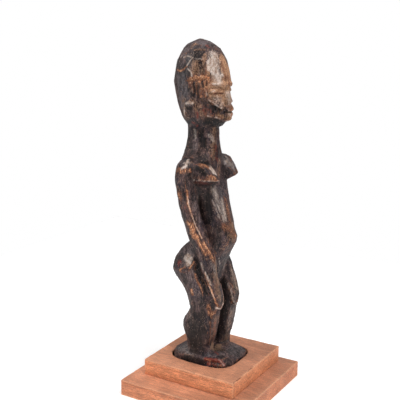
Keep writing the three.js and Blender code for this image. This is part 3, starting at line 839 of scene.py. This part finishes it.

# painted highlights and sheen: pale on the facets and along the ridges and edges that catch the light
paleHighlightStrokes = [
    # head
    (0.45, 0.8, (16.9, -15.5, 353.3), (19.1, -14, 348.4)),
    (0.4, 0.8, (15.3, -25.5, 353), (14.8, -32, 347.6), (16.7, -33.2, 340.5)),
    (0.5, 0.8, *lineOf("templeTop")),
    (0.9, 0.9, *lineOf("headEdgeOne")),
    (0.7, 5.5, (11, 5, 351), (12, 7, 345), (14, 8, 338)),
    (0.9, 0.9, (22.4, -18.6, 336.2), (23.1, -14.5, 333.2), (23.6, -13, 329.4)),
    (0.7, 5, (13, 9, 334), (14, 11, 329), (13, 13, 324)),
    (0.6, 0.8, (19, 5.6, 321), (15.6, 11, 322), (11.2, 15, 321.4), (5.5, 17.4, 319.8)),
    (0.5, 0.8, (24, -13, 320), (23.6, -12, 313.5)),
    (0.75, 3.8, (2.4, 19, 312), (2, 21, 303)),
    (0.45, 5, (15, 11, 306), (11, 15, 303)),
    (1, 1.3, (23, -20.6, 300.6), (22.9, -16.7, 302), (22.4, -12.6, 301.6)),
    (0.8, 0.9, (19.6, 5.2, 305.4), (13.4, 11.8, 299.4), (9.8, 14.6, 296.9), (8, 17, 294)),
    (0.5, 2.4, (4, 20, 295), (3, 20.6, 290)),
    (0.85, 1, (23.2, -22.8, 298), (22.6, -22.6, 292), (22.6, -22, 286)),
    (0.75, 0.9,
        (17.7, 3.3, 288.8), (12.4, 9.8, 287.4), (8, 13.4, 284.8), (3, 17.6, 283.6), (-3, 17.6, 283.6),
    ),
    # neck
    (0.6, 1.8, (15.7, -14, 273), (15.9, -13.2, 265.5)),
    (0.6, 2.4, (10, 1.8, 268), (6.4, 3.8, 262)),
    # trunk and arms
    (0.7, 1.2, (35.2, -15, 240.4), (33.4, -9.6, 240.6), (30, -8, 241.4)),
    (0.85, 1.5, (39.2, -14.5, 235.2), (37, -10.6, 237.4), (34, -11.6, 240.6), (31.4, -12.4, 243)),
    (0.55, 4, (-15, 9, 237), (-19, 13, 233)),
    (0.5, 1.2, (-20, 4, 241), (-19.5, 8.7, 237.8), (-18.1, 14.7, 229.8), (-18.2, 18.4, 224.6)),
    (0.8, 1.6, (17.9, 7.4, 235), (14.8, 10.6, 230.5)),
    (0.75, 0.8, (33.6, -3.4, 222.9), (31, 8.5, 222.7), (26.5, 14.3, 222.6), (19, 18.4, 222.3)),
    (0.65, 4.2, (13, 9, 210), (11, 11, 203)),
    (0.45, 2, (28, -2, 205), (24.6, -1.6, 197)),
    (0.5, 1.4, (18.1, 10, 200.4), (16.1, 12.6, 193.9), (15.3, 14.6, 187.4), (14.5, 16.8, 181)),
    (0.55, 3.6, (12, 12, 200), (9.6, 15.4, 189), (8, 18.2, 179)),
    (0.72, 2.4, (3.4, 14.2, 198), (4.2, 16.7, 188), (4.6, 19.4, 178)),
    (0.8, 0.7, (41.6, -6.2, 206), (40.3, -3.2, 191), (38, 2.3, 175), (35, 8, 162.5)),
    # hips, thighs and hands
    (0.65, 1.2, (34.6, 7.1, 134.7), (34.4, 9.5, 127.3)),
    (0.5, 1.4, (33.5, 9, 128), (34.3, 5, 134)),
    (0.7, 0.8, (24.4, 19, 137), (18, 20.6, 124)),
    (0.45, 3.4, (30, 17, 136), (27, 19.6, 124)),
    (0.6, 0.9, (13, 19, 112), (7.6, 15.1, 126.5), (13.4, 16.9, 136.3)),
    (0.6, 0.8, (-3.7, 13, 111.4), (-3.6, 14.1, 122), (-2.4, 17, 130)),
    (0.8, 1.1, (35.4, 12.6, 126), (35, 16.1, 119.8), (33.2, 18.9, 112)),
    (0.7, 0.9, (33.4, 16.6, 110), (30, 21.2, 97)),
    (0.4, 5, (-19, 17, 112), (-20, 22, 92)),
    (0.5, 1.6, (-7.7, 17.1, 100.5), (-8.6, 19.6, 94)),
    (0.65, 0.9, (14.9, 24, 90.4), (14.4, 23.2, 96), (13.6, 21.6, 102)),
    (0.9, 1.1, (26.2, 21.6, 84.2), (20.8, 23.4, 81.9), (16.7, 24.5, 86.5), (14.9, 24, 90.4)),
    (0.6, 0.9, (-9.6, 20.6, 92), (-10.8, 22.2, 82), (-16, 23, 76)),
    (0.7, 0.8, (-9.2, 20.4, 88), (-9.8, 21.5, 83), (-12.8, 22.6, 78.6), (-23.8, 19.4, 71)),
    # shins and calves
    (0.35, 6, (30, -8, 70), (30, -2, 60)),
    (0.35, 4.5, (-17, 18, 66), (-14, 16, 53), (-18, 13, 39)),
    (0.9, 0.8, (29.9, -5.4, 35.2)),
    # slab
    (0.35, 7, (30, -6, 27), (20, -26, 26)),
    (0.6, 0.8, (25.4, 25.8, 25.8), (25.8, 29.9, 22.4), (25.4, 32.2, 19.6)),
]

redWear = [
    # head
    (0.55, 2.2, (9.3, -3.9, 359.5), (8.2, 0.2, 357.6)),
    (0.45, 1.8, (9.6, 4.6, 352.4), (12.4, 1.4, 354)),
    (0.7, 1.5, (23.6, -16.4, 323), (23.8, -13.9, 318.6), (23.4, -11.1, 314.4)),
    (0.6, 1, (-20.4, 6, 311.8), (-16, 10.6, 312.4), (-7, 15.4, 311.6)),
    (0.7, 1, (20.4, 6, 311.8), (16, 10.6, 312.4), (7, 15.4, 311.6)),
    (0.5, 2.4, (20.4, -1, 299), (18, 4.4, 295), (14, 9, 291)),
    (0.6, 2.2, (19.9, -1.4, 296), (19.2, 1.4, 290)),
    (0.8, 1.4, (20.9, -7.6, 292), (20.6, -7.4, 286)),
    # neck
    (0.7, 2, (16.5, -15, 280), (15.6, -10, 278)),
    (0.55, 2.6, (5, 5, 256), (4, 7, 240)),
    # trunk and arms
    (0.5, 1.6, (11, 5, 250), (12, 6, 238)),
    (0.9, 2.6, (32, 0, 221), (29, 9, 220.6), (22, 14, 220)),
    (0.5, 1.4, (41.6, -8.4, 212), (41.2, -6.6, 203)),
    (0.6, 1.6, (41.3, -9, 198), (41, -8, 190)),
    (0.5, 3, (-1.6, 26.6, 150), (1, 23, 142)),
    # hips, thighs and hands
    (0.8, 3.2, (32, -21.6, 130.5), (32.6, -20.6, 128)),
    (0.6, 1.6, (32.2, 6, 126), (33, 5.6, 120)),
    # shins and calves
    (0.4, 2, (-16, 17.4, 64), (-15, 16, 50)),
    (0.55, 2.6, (22, 17.5, 66), (18, 15.6, 50), (18.6, 12.6, 38)),
    # slab
    (0.7, 1.5, (15.6, 15.6, 28.2), (18.6, 20.8, 27.4)),
    (1, 2.4, (31.6, 13.4, 24.8), (29.9, 22.2, 24.8), (26.4, 27.4, 24)),
    (0.8, 2, (26.4, 27.4, 24), (25.6, 30.5, 22), (25.5, 32.3, 19.4)),
    (0.65, 2.6, (31.8, 16, 20.8), (30.4, 22, 20.4), (26, 28.4, 20.6)),
]

# painted shade: strokes that darken hollows, slits and gouges, under the jaw and breasts, the torso's side,
# the leg gap, the calf and the slab's side
paintedShadeStrokes = [
    # head
    (0.65, 5, (18, -10, 351)),
    (0.6, 3, (20.4, -26, 339)),
    (0.6, 2.5, (22.4, -17, 332)),
    (0.7, 1.3, (20.3, 2.8, 323.6), (20.3, 2.2, 320.5)),
    (0.75, 1.5, (22, -1.6, 323.5), (21.7, -0.6, 319.5)),
    (0.75, 1.5, (23.6, -11, 321), (23.3, -9.4, 315), (22.9, -10, 308)),
    (0.7, 1.9, (22.9, -5.4, 319), (22.6, -6.4, 314), (22.4, -5.4, 307)),
    (0.7, 0.8, (-20.4, 6, 311.8), (-16, 10.6, 312.4), (-7, 15.4, 311.6)),
    (0.4, 1, (20.4, 6, 311.8), (16, 10.6, 312.4), (7, 15.4, 311.6)),
    (0.7, 2, (21.5, -2, 305), (20, 1, 299)),
    (0.5, 1, (-3, 18.6, 299.4), (-4.4, 18.4, 298.6)),
    (0.3, 2.4, (21, -1, 302), (19.4, 2.6, 298), (16, 6.6, 294.6)),
    (1, 2.1, (21.6, -18.8, 296), (21.7, -15, 296)),
    (0.35, 2, (18.5, 4.5, 297.6), (14.5, 9.5, 295), (11, 12.5, 293)),
    (0.25, 2.6, (21.4, -3, 296), (19.4, 0.6, 292)),
    (0.9, 1, *lineOf("mouthCorner")),
    (0.9, 1, (-8.6, 15.8, 292.6), (-6.6, 18.2, 292.6), (-4.4, 20.2, 292.6), (0, 21.6, 292.5)),
    (0.5, 1.5, (21.5, -14.6, 294), (21.3, -15, 291)),
    # neck
    (1, 5, (16, 3, 283), (10, 9, 281), (3, 12, 280)),
    (0.7, 3, (14.8, -6.7, 271), (15.2, -6.2, 256)),
    (0.9, 2, (13.3, -2.6, 264), (13.8, -2, 256)),
    # trunk and arms
    (0.8, 2, (27, -5.5, 241.5), (17, 4, 238.8)),
    (0.8, 2.6, (31, -3.6, 235), (30, 0.5, 235), (29.9, 8.4, 230)),
    (1, 0.9, (24.5, 15.2, 225.3)),
    (0.9, 4, (31, 0, 220), (25, 12, 220), (20, 14, 219)),
    (0.8, 2.5, (26, -3, 212), (24, -2, 200), (22.5, 2, 180)),
    (0.6, 6, (22, 7, 205), (21, 8, 180)),
    (0.7, 3.5, (21.4, 6.8, 206), (21.6, 7.1, 190), (21.3, 7.2, 176)),
    (0.5, 5, (16, 18, 170), (16, 19, 161)),
    # hips, thighs and hands
    (0.7, 2.6, (26.8, -7.8, 144.6), (32, 1, 140), (33.5, 4, 132)),
    (0.55, 0.7, *lineOf("hipSplit")),
    (1, 2.6, (31.6, 0.4, 128), (32.8, 3.2, 122.5), (32.4, 6, 118)),
    (1, 2.2, (32.6, 5.4, 116), (32.2, 7.8, 112)),
    (1, 1.6, *lineOf("gougeThree")),
    (0.4, 7, (33, 0, 97), (32, 0, 80)),
    # shins and calves
    (0.9, 8, (-8, 8, 100), (-8, 7, 40)),
    (0.85, 11, (31, 0, 58), (31, -2, 40)),
    # slab
    (1, 3, (32.4, -16, 19), (32.8, -4, 20), (32.6, 6, 20), (32.2, 12, 20.5)),
]

# painted grey sheen: strokes that lift the dark skin towards a cool grey where it shows a sheen
greySheenStrokes = [
    # head
    (0.6, 8, (14, -30, 353), (13, -28, 355), (11, -17, 361), (6, -8, 363)),
    (0.5, 6, (19, -26, 350), (22, -27, 338)),
    (0.8, 8, (21, -28, 328), (23, -24, 312), (22, -24, 300)),
    (0.4, 4, (16, 10, 305), (12, 14, 302)),
    # neck
    (0.4, 4, (16, -12, 262), (16, -12, 250)),
    # trunk and arms
    (0.45, 6, (35, -10, 240), (33, -16, 240)),
    (0.8, 8, (-17, 8, 237), (-20, 13, 233)),
    (0.55, 5, (13, 11, 205), (11, 14, 196)),
    (0.4, 4.5, (34, -1, 206), (34, -1, 197), (31, 4, 178)),
    (0.45, 8, (27, -22, 143), (29, -12, 144)),
    # hips, thighs and hands
    (0.5, 3.5, (30.6, 9.4, 136), (31, 13, 128)),
    (0.4, 9, (34, -4, 118), (34, -3, 96)),
    # slab
    (0.5, 6, (24, 14, 27), (14, 22, 27)),
    (0.8, 7, (23, -10, 26), (21, -24, 26)),
    (0.5, 9, (0, 28, 24), (-18, 28, 24)),
]

dustWear = [
    # shins and calves
    (0.5, 6, (-10, 12, 33), (-21, 14, 32)),
    (0.8, 4.6, (17, 13, 35), (8, 13, 30), (-1, 11, 30)),
    # slab
    (0.5, 3, (12, 16, 28), (6, 20, 28)),
    (0.35, 2.4, (31, 19, 20.4), (25.6, 29, 19.4)),
]

wearAndPaintedLight = {
    "strokes": {
        "bare": bareWear,
        "tan": tanWear,
        "pale": paleHighlightStrokes,
        "red": redWear,
        "shade": paintedShadeStrokes,
        "greySheen": greySheenStrokes,
        "dust": dustWear,
    },
    "reach": 2.2,  # in half widths, like the next one
    "fade": (2.0, 0.2),  # where a stroke ends and where it is full
    # The side that the photograph doesn't show gets about the same wear and painted light, only less
    "otherSide": 0.75,
    "otherSideFrom": 16,  # strokes that come nearer to the middle aren't mirrored
}


def strokeMarks(points, settings):
    end, full = settings["fade"]
    marks = {}
    for mark, strokes in settings["strokes"].items():
        marks[mark] = np.zeros(len(points))
        for strength, width, *line in strokes:
            sides = {-1: strength}
            if min(right for right, front, up in line) >= settings["otherSideFrom"]:
                sides[1] = settings["otherSide"] * strength
            for side, most in sides.items():
                near, gap = gapTo(points, placed(line, side), settings["reach"] * width)
                markLevel = most * ramp(-gap, -end * width, -full * width)
                marks[mark][near] = np.maximum(marks[mark][near], markLevel)
    return marks


def carveFigure(settings):
    mesh = remeshed("figure", settings["voxel"])
    web = Web(mesh)
    points = pointsOf(mesh) - figureSpot
    fine = inBox(points, *settings["faceBox"], settings["faceMargin"])
    share = (1 - settings["faceSpared"] * fine)[:, None]
    movePoints(mesh, web.smooth(points, settings["softenRounds"], share) + figureSpot)
    marks = knifeCut(mesh, web, settings)
    print("facets cut")
    points = pointsOf(mesh) - figureSpot
    points = cutLines(points, normalsOf(mesh), settings)
    grain = sum(
        weight * ripple(points * (1, 1, upright), length, seed)
        for weight, upright, length, seed in settings["grain"]
    )
    points += (settings["grainDepth"] * grain)[:, None] * normalsOf(mesh)
    movePoints(mesh, points + figureSpot)
    normals = normalsOf(mesh)
    for mark, sign in (("edge", 1), ("pit", -1)):
        rounds, start, full = settings[mark]
        marks[mark] = ramp(sign * bulges(web, points, normals, rounds), start, full)
    for mark, values in strokeMarks(points, wearAndPaintedLight).items():
        marks[mark] = np.maximum(values, marks.get(mark, 0))
    thin, nearest = thinned(mesh, settings["mostTriangles"])
    thin = finished(thin, {mark: values[nearest] for mark, values in marks.items()})
    piece = addObject("carved_figure", thin)
    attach(piece, "root")
    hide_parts("figure")
    print("figure has", len(thin.polygons), "faces")
    return piece


carved = carveFigure(figure)
print("figure carved")


boards = {
    "voxel": 1.25,
    "eased": 0.9,  # radius of the outer edges
    "rimFrom": 0.12,  # how far from both flat sides the rounded rim starts
    "topFrom": 0.7,  # how much a surface looks up to count as top
    "roughness": 0.07,  # how far the sawn faces stand up and down
    "sawn": (((1, 0.15, 1), 2.4, 21), ((0.3, 0.3, 1), 3.1, 5)),  # (stretch, wave length, seed)
    "wobble": (0.35, 3, 4),  # of the chips, as for the figure's cuts
    "smoothRounds": 6,  # of the recess wall
    # on the upper board, from its low corner: (half width, depth, points)
    "chips": [
        (2.0, 1.7, (2, -0.6, 18.4), (8, -0.4, 18.6), (16, -0.6, 18.6)),
        (1.2, 1.0, (11, 0.4, 17.4), (19, 0.4, 17)),
        (1.9, 1.5, (34, -0.5, 18.5), (41, -0.3, 18.4), (47, -0.6, 18.6)),
        (1.4, 1.2, (70, -0.4, 18.3), (75, -0.4, 18.3)),
        (1.0, 0.8, (-0.4, 30, 18.3), (-0.4, 34, 18.3)),
        (1.2, 0.8, (-0.4, 77, 18.3), (-0.4, 80, 18.3)),
        (1.1, 0.9, (-0.3, -0.3, 6), (-0.3, -0.3, 9)),
    ],
}


def easedBoard(node, low, high, settings, chips):
    mesh = remeshed(node, settings["voxel"])
    web = Web(mesh)
    points = pointsOf(mesh)
    inner = settings["eased"]
    outside = (points < low + inner) | (points > high - inner)
    recess = ~outside.any(1)
    smoother = web.smooth(points, settings["smoothRounds"], recess[:, None].astype(float))
    points[recess] = smoother[recess]
    core = np.clip(points, low + inner, high - inner)
    off = points - core
    reach = np.linalg.norm(off, axis=1)
    skin = reach > 0
    points[skin] = core[skin] + inner * off[skin] / reach[skin, None]
    rim = ((np.abs(off) > settings["rimFrom"]).sum(1) > 1).astype(float)
    movePoints(mesh, points)
    normals = normalsOf(mesh)
    sawn = sum(ripple(points * stretch, length, seed) for stretch, length, seed in settings["sawn"])
    depth = settings["roughness"] * sawn
    depth[points[:, 2] < low[2] + inner] = 0
    amount, length, seed = settings["wobble"]
    wobble = 1 + amount * ripple(points, length, seed)
    chipped = np.zeros(len(points))
    for width, deep, *line in chips:
        near, profile = groove(points, np.array(line) + low, width, wobble)
        depth[near] -= deep * profile
        chipped[near] = np.maximum(chipped[near], profile)
    movePoints(mesh, points + depth[:, None] * normals)
    piece = addObject("sawn_" + node, finished(mesh, {
        "rim": web.blur(rim, 2),
        "chip": chipped,
        "top": web.blur((normals[:, 2] > settings["topFrom"]).astype(float), 1),
        "recess": web.blur(recess.astype(float), 1),
    }))
    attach(piece, "root")
    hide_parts(node)
    return piece


lowerPiece = easedBoard("lower_board", lowerLow, lowerHigh, boards, [])
upperPiece = easedBoard("upper_board", upperLow, upperHigh, boards, boards["chips"])
print("boards sawn")


patina = {
    "darkest": (0.0105, 0.0066, 0.0072),
    "dark": (0.0425, 0.0262, 0.0262),
    "blueBlack": (0.0150, 0.0125, 0.0215),
    "brown": (0.108, 0.0600, 0.0515),
    "halo": (0.140, 0.054, 0.031),
    "flake": (0.130, 0.074, 0.056),
    "fleck": (0.28, 0.185, 0.145),
    # painted grey sheen colour
    "greySheen": (0.118, 0.104, 0.110),
    "bare": (0.46, 0.175, 0.076),
    "bareLight": (0.75, 0.43, 0.245),
    "tan": (0.19, 0.090, 0.050),
    "tanLight": (0.57, 0.32, 0.180),
    # paleDeep and pale are the colours of the painted highlights and sheen; paleDeep also colours some
    # rubbed edges
    "paleDeep": (0.30, 0.195, 0.140),
    "pale": (0.59, 0.49, 0.43),
    "red": (0.150, 0.025, 0.016),
    "dust": (0.23, 0.135, 0.082),
}


def patinaMaterial(colours):
    wood = Recipe(bpy.data.materials.new("old_patina"), colours)
    stretched, noise, mark, calc = wood.stretched, wood.noise, wood.mark, wood.calc
    between, mix, dim, lean = wood.between, wood.mix, wood.dim, wood.lean
    whole = stretched(1, 1, 1)
    grain = stretched(1, 1, 0.17)
    half = stretched(1, 1, 0.5)
    broad = noise(whole, 26, 2)
    blotch = noise(half, 7, 5, 0.65)
    fibre = noise(grain, 1.0, 4, 0.7, 0.3)
    fine = noise(grain, 0.4, 2, 0.6)
    speck = noise(whole, 0.8, 3, 0.7)
    breakUp = noise(stretched(1, 1, 0.7), 2.4, 5, 0.72, 0.7)
    spotty = noise(whole, 1.5, 4, 0.7)
    flake = noise(half, 3.1, 4, 0.7, 0.6)
    chewed = noise(stretched(1, 1, 0.4), 1.15, 3, 0.7)
    cloud = noise(stretched(1, 1, 0.35), 2.6, 4, 0.65, 0.5)
    edge = mark("edge")
    facet = mark("facet")

    def times(first, second):
        return calc("MULTIPLY", first, second)

    def markLevel(patch, low, high, ragged=1.0):
        # a patch whose border is eaten into by the grain
        uneven = lean(breakUp, 2.4 * ragged, patch)
        uneven = lean(fibre, 1.5 * ragged, uneven)
        return between(lean(speck, 0.7 * ragged, uneven), low, high)

    # the dark skin, with its blotches, grain and flakes, and a painted grey sheen
    skin = mix(between(blotch, 0.35, 0.68), "darkest", "dark")
    skin = mix(between(broad, 0.45, 0.65, 0, 0.6), skin, "blueBlack")
    brownShare = times(between(breakUp, 0.38, 0.72), between(facet, 0.1, 1, 0.25, 0.85))
    skin = mix(brownShare, skin, "brown")
    skin = dim(skin, between(fibre, 0.3, 0.72, 0.42, 1.85))
    skin = dim(skin, between(facet, 0, 1, 0.85, 1.2))
    skin = mix(between(spotty, 0.64, 0.76, 0, 0.5), skin, "halo")
    flakes = times(between(flake, 0.545, 0.62), between(broad, 0.3, 0.6, 0.2, 0.55))
    skin = mix(flakes, skin, mix(between(speck, 0.45, 0.6), "flake", "fleck"))
    skin = dim(skin, between(flake, 0.38, 0.48, 0.45, 1))
    # painted grey sheen: this mark lifts the skin towards a cool grey
    greySheenShare = times(markLevel(mark("greySheen"), 0.1, 0.9, 0.6), between(flake, 0.42, 0.58, 0.25, 0.9))
    skin = mix(greySheenShare, skin, "greySheen")

    # what is worn through it and what lies on it, and the painted highlights
    tanColour = mix(between(spotty, 0.35, 0.7), "tan", "tanLight")
    skin = mix(times(markLevel(mark("tan"), 0.3, 0.9, 0.6), 0.92), skin, tanColour)
    rubbed = times(edge, between(noise(whole, 12, 3), 0.42, 0.62, 0.25, 1))
    skin = mix(markLevel(rubbed, 0.3, 0.85, 0.7), skin, "halo")
    rubbedColour = mix(between(noise(whole, 9, 3), 0.42, 0.58), "bare", "paleDeep")
    skin = mix(times(markLevel(rubbed, 0.7, 1.2, 0.7), 0.85), skin, rubbedColour)
    skin = mix(times(markLevel(mark("red"), 0.4, 0.8), 0.85), skin, "red")
    bareMark = calc("MULTIPLY_ADD", edge, times(mark("bare"), 0.6), mark("bare"))
    skin = mix(markLevel(bareMark, 0.25, 0.75), skin, "halo")
    bareColour = mix(between(spotty, 0.42, 0.66), "bare", "bareLight")
    bareShare = times(markLevel(bareMark, 0.72, 1.15), between(chewed, 0.42, 0.55, 0.08, 1))
    skin = mix(bareShare, skin, bareColour)
    # painted highlight and sheen: the pale mark lightens the skin towards a pale grey
    highlightColour = mix(between(cloud, 0.36, 0.60), "paleDeep", "pale")
    highlightShare = times(markLevel(mark("pale"), 0.15, 1.05, 0.55), between(speck, 0.3, 0.6, 0.7, 0.95))
    skin = mix(highlightShare, skin, highlightColour)
    dusty = times(markLevel(mark("dust"), 0.3, 0.9, 0.7), 0.75)
    skin = mix(dusty, skin, "dust")

    # what darkens or speckles all of it, the painted shade among it
    skin = dim(skin, between(mark("pit"), 0.15, 1, 1, 0.3))
    # painted shade: the shade mark darkens the skin down to about a sixth
    skin = dim(skin, between(markLevel(mark("shade"), 0.1, 1.0, 0.5), 0, 1, 1, 0.16))
    skin = dim(skin, between(fine, 0.3, 0.7, 0.66, 1.36))
    skin = dim(skin, between(facet, 0, 1, 0.84, 1.36))
    dots = between(noise(whole, 1.5, 1, 0.5), 0.66, 0.72, 0, 0.55)
    skin = mix(dots, skin, "fleck")

    gloss = between(noise(whole, 4, 4, 0.65), 0.3, 0.72, 0.25, 0.5)
    grazing = calc("POWER", wood.add("LayerWeight", "Facing", {"Blend": 0.5}), 3)
    duller = ((facet, 0.14), (bareShare, 0.16), (dusty, 0.3), (grazing, 0.4))
    for source, weight in duller:
        gloss = calc("MULTIPLY_ADD", source, weight, gloss)
    height = fibre
    for source, weight in ((fine, 0.35), (speck, 0.6), (breakUp, 1.4)):
        height = calc("MULTIPLY_ADD", source, weight, height)
    wood.set("Principled BSDF", {
        "Base Color": skin, "Roughness": gloss, "Specular IOR Level": 0.2,
        "Coat Weight": 0.06, "Coat Roughness": 0.3, "Normal": wood.bump(height, 0.6, 0.42),
    })
    return wood.owner


redWood = {
    "early": (0.72, 0.295, 0.150),
    "late": (0.50, 0.172, 0.078),
    "pore": (0.20, 0.062, 0.028),
    # painted highlight along the rounded rims
    "rim": (0.80, 0.44, 0.26),
    # painted sheen: the top of a board is drawn a little paler and greyer than its sides
    "topSheen": (0.55, 0.34, 0.25),  # what the top is a little nearer to
    "topSheenTint": (0.97, 0.93, 0.90),
    # painted shade for the walls of the recess that holds the figure
    "recess": (0.03, 0.014, 0.009),
}
# by board: (painted light on its sides, a tint that sets them lighter or darker than the top, how much
# coarser its rings are)
boardLooks = {"upper_board": ((1.06, 1.04, 0.98), 0), "lower_board": ((0.84, 0.76, 0.70), 3)}


def boardMaterial(board, colours):
    paintedSideLight, wider = boardLooks[board]
    wood = Recipe(bpy.data.materials.new(board + "_wood"), colours)
    stretched, noise, mark, calc = wood.stretched, wood.noise, wood.mark, wood.calc
    between, mix, dim, lean = wood.between, wood.mix, wood.dim, wood.lean
    along = stretched(1, 0.07, 1)
    whole = stretched(1, 1, 1)
    rings = noise(stretched(1, 0.02, 1.4), 9 + wider, 3, 0.55, 0.8)
    fibre = noise(along, 0.8, 4, 0.65, 0.4)
    streak = noise(along, 3.0, 3, 0.6)
    pores = noise(stretched(1, 0.16, 1), 0.55, 2, 0.6)
    rough = noise(whole, 1.0, 4, 0.7)
    smudge = noise(whole, 22, 3)
    top = mark("top")
    colour = mix(between(rings, 0.32, 0.68, 0.1, 0.75), "early", "late")
    colour = mix(between(streak, 0.5, 0.75, 0, 0.45), colour, "late")
    colour = dim(colour, between(fibre, 0.25, 0.75, 0.52, 1.46))
    colour = dim(colour, between(rough, 0.3, 0.7, 0.74, 1.22))
    colour = mix(between(pores, 0.58, 0.68, 0, 0.85), colour, "pore")
    # painted light: the sides take their own tint and the top is painted paler and greyer than them
    sheenedTop = mix(0.25, colour, "topSheen")
    upright = mix(1.0, colour, paintedSideLight, "MULTIPLY")
    colour = mix(top, upright, mix(1.0, sheenedTop, "topSheenTint", "MULTIPLY"))
    colour = dim(colour, between(smudge, 0.35, 0.65, 0.91, 1.09))
    # painted light: the back of the top is a little lighter than its front
    depth = wood.add("SeparateXYZ", "Y", {"Vector": wood.spot.outputs["Object"]})
    paintedBackLight = between(lean(smudge, 0.08, depth), upperLow[1] * mm, upperHigh[1] * mm, 0.84, 1.13)
    colour = mix(top, colour, dim(colour, paintedBackLight))
    # painted highlight: the rounded rims are drawn a lighter orange
    rim = calc("MULTIPLY", mark("rim"), between(rough, 0.35, 0.6, 0.2, 0.9))
    colour = mix(rim, colour, "rim")
    chip = between(mark("chip"), 0.25, 0.7)
    colour = mix(calc("MULTIPLY", chip, 0.85), colour, "pore")
    # painted shade: the recess walls are drawn nearly black
    colour = mix(mark("recess"), colour, "recess")
    height = calc("MULTIPLY_ADD", rough, 0.6, fibre)
    height = calc("MULTIPLY_ADD", between(pores, 0.60, 0.70), -0.6, height)
    wood.set("Principled BSDF", {
        "Base Color": colour, "Roughness": between(fibre, 0.3, 0.7, 0.5, 0.68),
        "Normal": wood.bump(height, 0.6, 0.3),
    })
    return wood.owner


carved.data.materials.append(patinaMaterial(patina))
upperPiece.data.materials.append(boardMaterial("upper_board", redWood))
lowerPiece.data.materials.append(boardMaterial("lower_board", redWood))
print("materials made")
